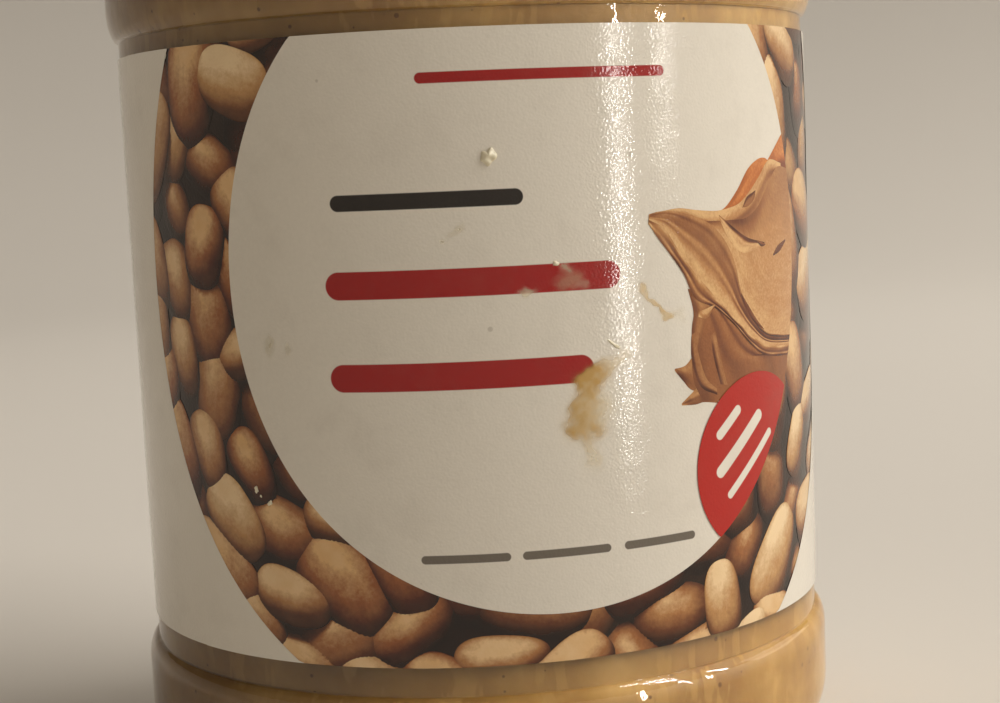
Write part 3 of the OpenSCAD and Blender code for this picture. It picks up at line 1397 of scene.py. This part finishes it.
@dataclass
class PrintedSpread:
    """The printed swipe of peanut butter, drawn out to a tip on the left."""

    sheet: LabelSheet
    ring: Ring
    folds: tuple[Fold, ...]
    lamp: tuple[float, float, float] = (0.34, 0.6, 0.72)

    def build(self) -> bpy.types.Object:
        """Lays the folds over each other."""
        lamp = np.array(self.lamp) / np.linalg.norm(self.lamp)
        grids = [fold.grid(self.sheet, self.ring, lamp) for fold in self.folds]
        return put("printed_spread", grids, SpreadPrint("spread_print"))


@dataclass(frozen=True)
class Dab(Mark):
    """A dab of oil or peanut butter on the label.

    Attributes:
        cover: how well it hides what is under it, from 0 to 1.
        tone: 0 for pale oil and 1 for tan paste.
    """

    cover: float = 0.5
    tone: float = 0.0

    def fall(self, u: np.ndarray, z: np.ndarray) -> np.ndarray:
        """How thick the dab is at places on the label: e^(-q^1.5), where q is 1 on the edge of the
        dab's ellipse and grows as the square of the distance from its middle."""
        along, across = self.own_axes(u, z)
        square = (2 * along / self.length) ** 2 + (2 * across / self.width) ** 2
        return np.exp(-(square**1.5))


@dataclass
class Smear:
    """Neighbouring dabs, merged into one thin sheet that fades out at its edge.

    Attributes:
        dabs: the dabs.
        margin: how far the sheet goes on past the dabs.
        thickness: thickness of the sheet where it covers well.
        fineness: points to a millimetre.
    """

    dabs: tuple[Dab, ...]
    margin: float = 1.6
    thickness: float = 0.05
    fineness: int = 8

    def grid(self, sheet: LabelSheet) -> Grid:
        """Lays the sheet over the dabs. What it lets through is the product of what the dabs let
        through, its tone is their mean by thickness, and slow waves bend the dabs' outlines."""
        middles = np.array([(dab.u, dab.z) for dab in self.dabs])
        sizes = np.array([max(dab.length, dab.width) for dab in self.dabs])[:, None]
        reach = sizes / 2 + self.margin
        low, high = (middles - reach).min(axis=0), (middles + reach).max(axis=0)
        columns, rows = ((high - low) * self.fineness).astype(int) + 2
        u = np.linspace(low[0], high[0], columns)[None]
        z = np.linspace(low[1], high[1], rows)[:, None]
        bent_u = u + 0.22 * np.sin(2.3 * z + 1.1 * u) + 0.08 * np.sin(5.9 * z - 3.7 * u)
        bent_z = z + 0.22 * np.sin(2.0 * u - 1.4 * z + 1.0) + 0.08 * np.sin(5.1 * u + 4.3 * z)
        falls = [dab.cover * dab.fall(bent_u, bent_z) for dab in self.dabs]
        cover = 1 - np.prod([1 - fall for fall in falls], axis=0)
        tone = sum(dab.tone * fall for dab, fall in zip(self.dabs, falls)) / (sum(falls) + 1e-6)
        points = sheet.lay(u, z, LAYER + SMEAR_LIFT + self.thickness * cover)
        return Grid(points, {THICK: cover, TONE: tone})


@dataclass(frozen=True)
class CrumbAndGlint(Mark):
    """A small solid lump on the label. Most are crumbs of paste; a pale sliver among them is a
    painted highlight that stands for a glint on the film.

    Attributes:
        height: how far it stands off the label.
        seed: seed of its lumpy shape.
    """

    height: float = 0.2
    seed: int = 0

    def grid(self, sheet: LabelSheet) -> Grid:
        """A dome on a polar grid. Its edge's radius is 1 plus five cosines of whole multiples of
        the angle, and its height is the root of 1 - rho^2 times 1 plus a few waves across it."""
        rng = np.random.default_rng(self.seed)
        rho = np.sin(np.linspace(0, math.pi / 2, 12))[:, None]
        phi = np.linspace(0, -2 * math.pi, 37)[None]
        edge = 1 + sum(
            rng.uniform(0.05, 0.5 / k) * np.cos(k * phi + rng.uniform(0, 6)) for k in range(2, 7)
        )
        x = rho * edge * np.cos(phi) * self.length / 2
        y = rho * edge * np.sin(phi) * self.width / 2
        lumps = 1 + 0.3 * np.sin(5 * x + rng.uniform(0, 6)) * np.sin(6 * y + rng.uniform(0, 6))
        thick = np.sqrt(np.clip(1 - rho**2, 0, None)) * lumps
        cos, sin = self.way
        u, z = self.u + x * cos - y * sin, self.z + x * sin + y * cos
        points = sheet.lay(u, z, LAYER + self.height * thick)
        return Grid(points, {THICK: 0 * thick + 2.0, TONE: 0 * thick})


# ---------------------------------------------------------------- stage


WARM = (1.0, 0.95, 0.88)  # colour of the lamps


@dataclass(frozen=True)
class AreaLamp:
    """A rectangular lamp that faces the label's middle.

    Attributes:
        azimuth: angle in degrees round the jar from -Y towards +X.
        rise: height angle in degrees.
        distance: distance from the label's middle, in metres.
        width: its width in metres.
        height: its height in metres.
        watts: its power.
        colour: its colour.
        lights: whether it lights surfaces.
        mirrored: whether glossy surfaces show it.
    """

    azimuth: float
    rise: float
    distance: float
    width: float
    height: float
    watts: float
    colour: tuple[float, float, float] = WARM
    lights: bool = True
    mirrored: bool = True


class Lamp(Enum):
    """The studio's lamps: large soft ones, small bulbs that glint on the plastic, and upright
    strips that sparkle on the label's film."""

    KEY = AreaLamp(66.0, 32.0, 2.2, 2.0, 2.0, 54.0, mirrored=False)
    SIDE = AreaLamp(104.0, 20.0, 1.2, 0.8, 0.4, 1.0)
    FILL = AreaLamp(-75.0, 25.0, 1.1, 0.9, 0.9, 0.3, (1.0, 0.74, 0.5))
    TOP = AreaLamp(160.0, 62.0, 1.0, 0.7, 0.7, 2.0)
    BULB_A = AreaLamp(56.0, 40.0, 0.9, 0.016, 0.2, 1.2, lights=False)
    BULB_B = AreaLamp(62.0, 16.0, 0.9, 0.02, 0.2, 1.5, lights=False)
    BULB_C = AreaLamp(67.0, 52.0, 0.9, 0.024, 0.2, 1.6, lights=False)
    BULB_D = AreaLamp(72.0, 28.0, 0.9, 0.016, 0.2, 1.2, lights=False)
    BULB_E = AreaLamp(79.0, 60.0, 0.9, 0.022, 0.2, 1.5, lights=False)
    STRIP = AreaLamp(34.5, 0.0, 0.30, 0.006, 0.15, 0.14, lights=False)
    STRIP_SIDE = AreaLamp(51.0, 12.0, 0.34, 0.006, 0.1, 0.07, lights=False)


@dataclass
class Studio:
    """A pale dished floor, soft lamps and the camera.

    Attributes:
        aim_z: height of the label's middle above the foot.
        flat_r: radius within which the floor is flat.
        floor_r: radius of the floor.
        floor_rise: how high its edge curves up.
        sky: colour of the surroundings.
        sky_strength: their brightness.
        lens: the camera's focal length.
        camera_distance: its distance from the jar's axis.
        camera_azimuth: its angle in degrees round the jar from -Y towards +X.
        camera_rise: its height above the label's middle.
        heading: angle in degrees of its view round Z.
        tilt: angle in degrees of its view above the horizon.
        roll: its turn in degrees about its own view.
        shift: how far the picture is shifted, as a share of its width.
    """

    aim_z: float
    flat_r: float = 700.0
    floor_r: float = 3200.0
    floor_rise: float = 1100.0
    sky: Colour = srgb(226, 206, 180)
    sky_strength: float = 0.11
    lens: float = 65.4
    camera_distance: float = 203.3
    camera_azimuth: float = -11.61
    camera_rise: float = 17.9
    heading: float = -13.58
    tilt: float = -7.07
    roll: float = 2.49
    shift: Point = (-0.04, 0.0285)

    def floor(self) -> None:
        """A flat disc whose far edge curves up, so that no horizon shows."""
        radius = np.concatenate([[0.0], np.linspace(self.flat_r - 100, self.floor_r, 40)])
        height = self.floor_rise * smooth(radius, self.flat_r, self.floor_r + 100)
        grid = turned(np.stack([radius, height], axis=-1), full_circle(96))
        mesh = mesh_of("floor", [Grid(grid.points[:, ::-1])], 60)
        mesh.materials.append(StudioFloor("studio_floor").material())
        floor = bpy.data.objects.new("floor", mesh)
        bpy.context.scene.collection.objects.link(floor)

    def lamps(self) -> None:
        """Soft area lamps that face the label's middle."""
        for lamp in Lamp:
            area = lamp.value
            light = bpy.data.lights.new(lamp.name.lower(), "AREA")
            light.shape = "RECTANGLE"
            light.size, light.size_y = area.width, area.height
            light.energy = area.watts
            light.color = area.colour
            holder = bpy.data.objects.new(lamp.name.lower(), light)
            round_z = Matrix.Rotation(math.radians(area.azimuth), 4, "Z")
            turn = round_z @ Matrix.Rotation(math.radians(90 - area.rise), 4, "X")
            middle = Matrix.Translation((0, 0, self.aim_z * MM))
            holder.matrix_world = middle @ turn @ Matrix.Translation((0, 0, area.distance))
            holder.visible_camera = False
            holder.visible_diffuse = area.lights
            holder.visible_glossy = area.mirrored
            bpy.context.scene.collection.objects.link(holder)

    def world(self) -> None:
        """Even pale surroundings."""
        world = bpy.data.worlds.new("studio")
        world.use_nodes = True
        background = world.node_tree.nodes["Background"]
        background.inputs["Color"].default_value = self.sky
        background.inputs["Strength"].default_value = self.sky_strength
        bpy.context.scene.world = world
        bpy.context.scene.view_settings.view_transform = "Standard"

    def camera(self) -> None:
        """The camera, near the jar, a little above the label's middle, looking slightly down."""
        data = bpy.data.cameras.new("camera")
        data.lens = self.lens
        data.sensor_width = 36.0
        data.shift_x, data.shift_y = self.shift
        data.clip_start, data.clip_end = 0.01, 20.0
        camera = bpy.data.objects.new("camera", data)
        around = math.radians(self.camera_azimuth)
        place = (
            self.camera_distance * math.sin(around) * MM,
            -self.camera_distance * math.cos(around) * MM,
            (self.aim_z + self.camera_rise) * MM,
        )
        turn = (
            Matrix.Rotation(math.radians(self.heading), 4, "Z")
            @ Matrix.Rotation(math.radians(90 + self.tilt), 4, "X")
            @ Matrix.Rotation(math.radians(-self.roll), 4, "Z")
        )
        camera.matrix_world = Matrix.Translation(place) @ turn
        bpy.context.scene.collection.objects.link(camera)
        bpy.context.scene.camera = camera

    def build(self) -> None:
        """Sets up the whole stage."""
        self.floor()
        self.lamps()
        self.world()
        self.camera()


# ---------------------------------------------------------------- the whole jar


# The ridge that two of the spread's folds share, from the tip on the left
LOWER_RIDGE = (
    (9.7, 11.4), (11.4, 10.5), (12.9, 8.5), (14.5, 6.5), (16.4, 4.6),
    (18.6, 2.6), (20.9, 0.7), (23.2, -0.9), (26.2, -2.1), (31.8, -2.6),
)
SURROUND_WIDTH = 9.0  # width of the white print round the ring of peanuts
BADGE_CENTRE = (23.5, -13.5)
BADGE_RADIUS = 9.1


def spread_folds() -> tuple[Fold, ...]:
    """The folds of the printed spread, placed on the label's print."""
    wedge = Fold(
        upper=((27.0, 16.4), (28.7, 17.7), (29.8, 18.5), (31.2, 19.4)),
        lower=((27.0, 15.6), (29.5, 15.4), (31.0, 15.2), (32.6, 15.0)),
        profile=(0.0, 0.9, 0.7, 0.2), level=0, warmth=0.8, dim=0.95,
    )
    back_fold = Fold(
        upper=((17.8, 11.6), (19.4, 12.1), (21.3, 13.7), (23.1, 15.6), (24.9, 16.5),
               (26.4, 16.6), (27.6, 16.0)),
        lower=((17.8, 11.2), (20.4, 11.2), (22.4, 12.1), (24.4, 13.5), (26.0, 14.7),
               (27.0, 15.2), (27.6, 15.6)),
        profile=(1.2, 0.9, 0.9, 0.7, 0.0), level=1, warmth=0.8, dim=0.95,
    )
    under_lobe = Fold(
        upper=((17.0, 4.0), (21.0, 0.9), (25.0, -1.8), (28.5, -2.9), (32.0, -3.0), (32.6, -8.5)),
        lower=((14.0, 4.6), (14.6, 2.2), (14.2, -0.4), (14.2, -2.2), (14.4, -4.4), (15.4, -6.3)),
        profile=(0.0, 0.5, 0.4, 0.25, 0.55, 0.5, 0.1, 0.3, 0.15, 0.0, 0.0),
        level=2, warmth=0.1, dim=0.6,
    )
    lobe_folds = (
        Fold(
            upper=((17.5, 3.4), (16.4, 2.0), (15.7, 0.2), (14.7, -2.4)),
            lower=((14.4, 4.4), (14.7, 2.6), (14.3, 0.4), (14.5, -2.5)),
            profile=(0.0, 0.6, 0.55, 0.0), level=3, dim=0.74,
        ),
        Fold(
            upper=((17.4, 0.2), (18.0, -2.3), (18.9, -5.2)),
            lower=((16.7, -0.2), (17.1, -2.4), (17.9, -5.0)),
            profile=(0.0, 0.4, 0.4, 0.0), level=3, dim=0.7,
        ),
        Fold(
            upper=((14.8, 0.4), (15.1, -1.8), (16.0, -4.2), (17.4, -5.4)),
            lower=((14.3, 0.2), (14.2, -2.2), (15.2, -4.9), (17.4, -6.0)),
            profile=(0.0, 0.35, 0.3, 0.0), level=3.2, dim=0.68,
        ),
    )
    spikes = (
        Fold(
            upper=((12.1, -2.9), (13.4, -2.7), (14.6, -1.8), (15.6, -2.2)),
            lower=((12.1, -3.1), (13.1, -4.2), (14.0, -5.1), (15.6, -5.6)),
            profile=(0.0, 0.4, 0.5, 0.2), level=1, dim=0.8,
        ),
        Fold(
            upper=((12.8, -6.3), (14.0, -5.5), (15.0, -5.0), (17.5, -5.2)),
            lower=((12.8, -6.5), (14.5, -6.6), (15.6, -6.5), (17.5, -6.8)),
            profile=(0.0, 0.3, 0.5, 0.1), level=1, dim=0.88,
        ),
    )
    light_band = Fold(
        upper=((11.0, 12.1), (13.2, 12.3), (15.5, 12.0), (18.0, 11.8), (20.0, 12.0),
               (21.6, 12.4), (23.4, 13.5), (25.2, 14.9), (27.2, 16.4), (30.0, 16.0)),
        lower=((11.0, 11.7), (13.5, 11.2), (16.0, 10.2), (18.3, 9.4), (20.4, 9.7),
               (22.3, 10.4), (24.2, 11.2), (25.8, 12.6), (27.3, 14.0), (30.0, 15.0)),
        profile=(0.0, 0.35, 0.8, 0.8, 0.5), level=3,
    )
    bowl = Fold(
        upper=((16.0, 10.9), (20.5, 10.8), (22.6, 10.9), (24.6, 11.8), (26.2, 13.3),
               (27.6, 14.7), (29.4, 15.7), (32.6, 15.2)),
        lower=((16.0, 10.4), (19.1, 8.0), (20.6, 4.9), (21.3, 2.6), (23.0, 0.6),
               (25.6, -1.4), (28.5, -2.0), (32.6, -2.4)),
        profile=(1.5, 0.95, 0.72, 0.5, 0.35, 0.4, 0.8, 1.5), level=4, dim=0.95,
    )
    crease = Fold(
        upper=((18.4, 11.4), (20.8, 9.9), (22.9, 8.9), (25.8, 8.3)),
        lower=((18.4, 11.0), (19.9, 8.9), (22.0, 7.5), (25.8, 8.0)),
        profile=(0.7, 0.3, 0.1, 0.0, 0.4), level=5, dim=0.94,
    )
    curl = Fold(
        upper=((22.0, 11.9), (22.8, 12.9), (23.8, 13.3), (24.4, 13.5)),
        lower=((22.0, 11.9), (23.0, 12.0), (24.0, 12.6), (24.4, 13.5)),
        profile=(0.4, 0.0, 0.0, 0.4), level=5, dim=0.66,
    )
    trough = Fold(
        upper=((9.9, 11.9), (12.2, 12.1), (14.8, 11.5), (17.3, 10.5), (19.3, 8.7),
               (20.6, 6.5), (21.4, 3.9), (23.0, 1.5), (25.8, -0.7), (31.8, -1.6)),
        lower=LOWER_RIDGE,
        profile=(0.95, 0.62, 0.36, 0.3, 0.42, 0.4, 0.6, 0.78, 0.92, 1.15, 1.2), level=6, dim=0.92,
    )
    skirt = Fold(
        upper=LOWER_RIDGE,
        lower=((9.75, 11.0), (10.6, 9.7), (12.0, 8.0), (13.6, 5.9), (14.9, 3.6),
               (17.6, 2.4), (20.3, 0.5), (22.9, -1.7), (25.9, -3.1), (31.8, -3.6)),
        profile=(0.0, 0.25, 0.3, 0.5, 0.62, 0.6), level=7, dim=0.95,
    )
    dab = Fold(
        upper=((15.2, 2.3), (16.2, 2.5), (17.4, 2.8)),
        lower=((15.2, 1.8), (16.3, 1.6), (17.4, 2.6)),
        profile=(0.0, 0.1, 0.0), level=8, dim=1.05,
    )
    tip = Fold(
        upper=((9.75, 11.9), (10.8, 12.1), (12.0, 12.0), (13.4, 11.5)),
        lower=((9.65, 11.0), (10.3, 10.3), (11.4, 10.2), (13.4, 11.2)),
        profile=(0.3, 0.4, 0.4, 0.3), level=2.5, dim=0.98,
    )
    slits = (
        Fold(
            upper=((27.6, 7.0), (28.8, 7.8), (30.7, 8.3)),
            lower=((27.6, 6.8), (29.2, 7.2), (30.7, 8.1)),
            profile=(0.0, 0.1, 0.0), level=5, warmth=0.2, dim=0.36,
        ),
        Fold(
            upper=((24.4, 8.5), (25.2, 8.4), (26.0, 8.1)),
            lower=((24.4, 8.4), (25.2, 7.9), (26.0, 8.0)),
            profile=(0.0, 0.1, 0.0), level=6, warmth=0.2, dim=0.45,
        ),
        Fold(
            upper=((21.4, 3.6), (22.6, 2.2), (23.9, 0.8), (25.2, -0.3)),
            lower=((21.4, 3.4), (22.2, 1.8), (23.5, 0.5), (25.2, -0.4)),
            profile=(0.0, 0.1, 0.0), level=8, warmth=0.2, dim=0.4,
        ),
    )
    low = wedge, back_fold, *spikes, under_lobe, *lobe_folds
    return *low, light_band, bowl, crease, curl, trough, skirt, dab, tip, *slits


def disc_print() -> BarPrint:
    """The disc's plain bars, where lines of print would be."""
    red, dark, grey = srgb(160, 20, 18), srgb(38, 32, 28), srgb(112, 104, 94)
    return BarPrint(
        "disc_print",
        bars=(
            (red, (
                Bar(-7.5, 6.6, 28.0, 2.6), Bar(-9.0, -2.0, 25.0, 2.6), Bar(0.0, 25.2, 24.0, 1.0),
            )),
            (dark, (Bar(-11.6, 14.2, 18.0, 1.5),)),
            (grey, (
                Bar(-9.4, -19.2, 8.4, 0.8), Bar(0.2, -19.2, 8.6, 0.8), Bar(9.9, -19.2, 8.0, 0.8),
            )),
        ),
    )


def badge_print() -> BarPrint:
    """The badge's red ground with its slanted white bars."""
    slope = 38.0
    bars = (
        Bar(18.9, -8.9, 4.4, 1.0, slope),
        Bar(20.6, -11.2, 9.0, 1.2, slope),
        Bar(22.2, -13.4, 9.4, 0.8, slope),
    )
    return BarPrint("badge_print", ground=srgb(184, 36, 27), bars=((PAPER, bars),))


def smears() -> tuple[Smear, ...]:
    """The smears on the label, placed on its print."""
    return (
        Smear((
            Dab(3.0, -3.1, 3.0, 2.4, 20, 0.95, 1.15), Dab(2.5, -4.9, 3.6, 2.2, 80, 0.8, 0.8),
            Dab(2.2, -7.0, 3.2, 3.3, 85, 0.85, 0.95), Dab(4.7, -2.1, 3.4, 1.6, 28, 0.6, 0.6),
            Dab(6.4, -1.0, 2.6, 1.7, 35, 0.3, 0.2), Dab(3.9, -5.6, 3.2, 4.6, -20, 0.3, 0.15),
            Dab(2.5, -7.3, 4.8, 4.6, 80, 0.28, 0.5), Dab(3.0, -10.4, 3.8, 1.6, -72, 0.35, 0.2),
        )),
        Smear((
            Dab(9.0, 4.8, 1.3, 0.9, -50, 0.7, 0.55), Dab(10.1, 3.5, 2.8, 0.6, -50, 0.75, 0.65),
            Dab(11.4, 2.4, 1.7, 1.0, -12, 0.8, 0.65), Dab(12.9, 2.1, 1.8, 1.5, 20, 0.25, 0.3),
        )),
        Smear((
            Dab(1.4, 6.4, 3.0, 1.9, 30, 0.32, 0.4), Dab(0.9, 7.4, 1.4, 0.8, 10, 0.4, 0.1),
            Dab(-2.6, 5.5, 1.6, 0.8, 20, 0.5, 0.1), Dab(2.6, 5.6, 1.0, 1.4, 60, 0.3, 0.2),
        )),
        Smear((Dab(-28.0, 1.1, 1.1, 1.8, 10, 0.35, 0.0), Dab(-26.1, 0.6, 0.8, 1.6, -5, 0.3, 0.0))),
        Smear((Dab(-8.9, 11.1, 2.0, 0.7, 48, 0.35, 0.1), Dab(-10.2, 10.2, 0.8, 0.7, 0, 0.4, 0.0))),
    )


def crumbs_and_glints() -> tuple[CrumbAndGlint, ...]:
    """The crumbs on the label, and a pale sliver that is a painted highlight of a glint on the
    film, placed on its print.
    """
    return (
        CrumbAndGlint(-5.6, 17.9, 1.4, 1.5, 20, 0.4, 1),
        CrumbAndGlint(0.2, 7.9, 0.6, 0.45, 0, 0.15, 2),
        # A pale thin sliver, not a crumb: a painted highlight that stands for a glint on the film.
        CrumbAndGlint(5.6, 0.0, 1.5, 0.3, -35, 0.1, 3),
        # Three tiny pale specks: partly crumbs of paste, partly painted highlights that stand for
        # glints.
        CrumbAndGlint(-30.7, -12.9, 0.45, 0.6, 0, 0.2, 4),
        CrumbAndGlint(-30.2, -13.5, 0.25, 0.25, 0, 0.1, 6),
        CrumbAndGlint(-29.1, -14.1, 0.5, 0.5, 0, 0.2, 5),
    )


def main() -> None:
    """Builds the jar's pieces and the stage, sized from how far the model's parts reach."""
    logging.basicConfig(level=logging.INFO, format="%(name)s %(message)s")
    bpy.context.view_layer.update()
    jar_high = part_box("jar")[1] / MM
    label_low, label_high = (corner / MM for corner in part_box("label"))
    cap_low, cap_high = (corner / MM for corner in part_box("cap"))

    jar = ClearJar(bump_r=jar_high.x, rim_z=jar_high.z)
    jar.build()
    Contents(jar, fill_z=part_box("peanut_butter")[1].z / MM).build()
    ScrewCap(crest_r=cap_high.x, skirt_z=cap_low.z, top_z=cap_high.z).build()

    sheet = LabelSheet(radius=label_high.x, low=label_low.z, high=label_high.z)
    ring = Ring()
    sheet.build(PlainPrint("label_stock", ring_radius=ring.outer, ring_centre=ring.centre))
    KernelPile(sheet, ring).build()
    surround = ring.disc(sheet, ring.outer, ring.outer + SURROUND_WIDTH, LAYER)
    put("printed_surround", [surround], PlainPrint("surround"))
    put("printed_disc", [ring.disc(sheet, 0, ring.inner, LAYER)], disc_print())
    PrintedSpread(sheet, ring, spread_folds()).build()
    badge = ring.spot(sheet, BADGE_CENTRE, BADGE_RADIUS, LAYER + BADGE_LIFT)
    put("printed_badge", [badge], badge_print())
    paste = Paste("paste_and_glint")
    film = put("smears", [smear.grid(sheet) for smear in smears()], paste)
    film.visible_shadow = False
    # Crumbs, and the pale sliver that is a painted highlight of a glint on the film.
    put("crumbs_and_glints", [crumb_or_glint.grid(sheet) for crumb_or_glint in crumbs_and_glints()], paste)

    Studio(aim_z=sheet.middle).build()


if __name__ == "__main__":
    main()
